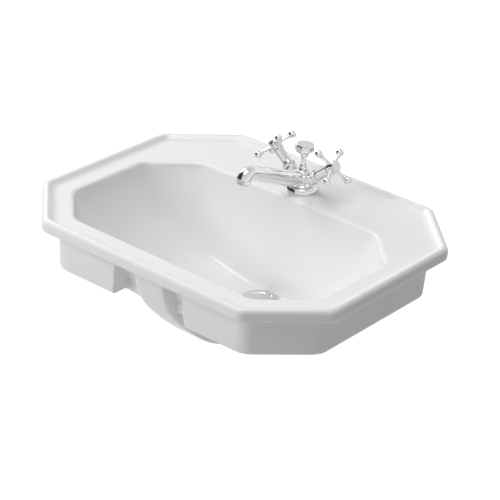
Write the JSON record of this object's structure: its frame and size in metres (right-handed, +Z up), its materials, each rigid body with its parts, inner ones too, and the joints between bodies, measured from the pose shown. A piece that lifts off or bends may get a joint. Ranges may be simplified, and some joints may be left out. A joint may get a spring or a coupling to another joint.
{
  "type": "drop-in washbasin with mixer tap",
  "caption": "Eight-sided drop-in washbasin of white glazed china with a raised rim, a cross-handle mixer tap and a pop-up waste.",
  "frame": {"origin": "centre of the basin's 580 x 470 mm outline, on the plane of the rim's underside that rests on the worktop", "axes": "+X to the user's right along the basin's width, +Y from the user towards the tap, +Z up"},
  "size_m": [0.58, 0.47, 0.3427],
  "materials": {
    "basin": "gloss",
    "chrome": "polished",
    "brass": "satin",
    "steel": "satin",
    "rubber": "matte",
    "nylon": "satin",
    "alumina": "satin"
  },
  "bodies": {
    "basin_and_tap": {"basin": "basin", "tap_body": "chrome", "base_ring": "chrome", "column_collar": "chrome", "aerator_housing": "chrome", "hot_knurled_ring": "chrome", "cold_knurled_ring": "chrome", "hot_valve_sleeve": "chrome", "cold_valve_sleeve": "chrome", "waste_flange": "chrome", "hot_valve_body": "brass", "cold_valve_body": "brass", "mounting_stud": "brass", "mounting_nut": "brass", "hot_inlet": "brass", "cold_inlet": "brass", "waste_body": "brass", "back_nut": "brass", "pivot_nut": "brass", "mounting_washer": "steel", "base_seal": "rubber", "aerator_seal": "rubber", "hot_seat_seal": "rubber", "cold_seat_seal": "rubber", "mounting_gasket": "rubber", "flange_seal": "rubber", "lower_seal": "rubber", "aerator_insert": "nylon", "slip_washer": "nylon", "inner_ball_seat": "nylon", "outer_ball_seat": "nylon", "hot_fixed_disc": "alumina", "cold_fixed_disc": "alumina"},
    "hot_handle": {"hot_moving_disc": "alumina", "hot_spindle": "brass", "hot_handle": "chrome", "hot_handle_screw": "steel", "hot_index_cap": "chrome"},
    "cold_handle": {"cold_moving_disc": "alumina", "cold_spindle": "brass", "cold_handle": "chrome", "cold_handle_screw": "steel", "cold_index_cap": "chrome"},
    "lift_rod": {"lift_knob": "chrome", "lift_rod": "chrome", "clevis": "brass", "clevis_screw": "steel"},
    "pivot_rod": {"pivot_rod": "brass"},
    "plug": {"plug_disc": "chrome", "plug_seal": "rubber", "plug_stem": "nylon"}
  },
  "joints": [
    {"name": "hot_handle_turn", "type": "hinge", "parent": "basin_and_tap", "child": "hot_handle", "pos_m": [-0.05821, 0.147, 0.07219], "axis": [-0.766, 0, 0.6428], "range_deg": [0, 90]},
    {"name": "cold_handle_turn", "type": "hinge", "parent": "basin_and_tap", "child": "cold_handle", "pos_m": [0.05821, 0.147, 0.07219], "axis": [0.766, 0, 0.6428], "range_deg": [-90, 0]},
    {"name": "lift_rod_slide", "type": "slide", "parent": "basin_and_tap", "child": "lift_rod", "axis": [0, 0, 1], "range_m": [-0.012, 0]},
    {"name": "pivot_rod_tilt", "type": "hinge", "parent": "basin_and_tap", "child": "pivot_rod", "pos_m": [0, 0.084, -0.217], "axis": [1, 0, 0], "range_deg": [-11, 0]},
    {"name": "plug_lift", "type": "slide", "parent": "basin_and_tap", "child": "plug", "axis": [0, 0, 1], "range_m": [0, 0.0053]}
  ],
  "couplings": [
    {"joint": "pivot_rod_tilt", "follows": "lift_rod_slide", "rad_per_m": 15.87},
    {"joint": "plug_lift", "follows": "lift_rod_slide", "ratio": -0.4333}
  ]
}
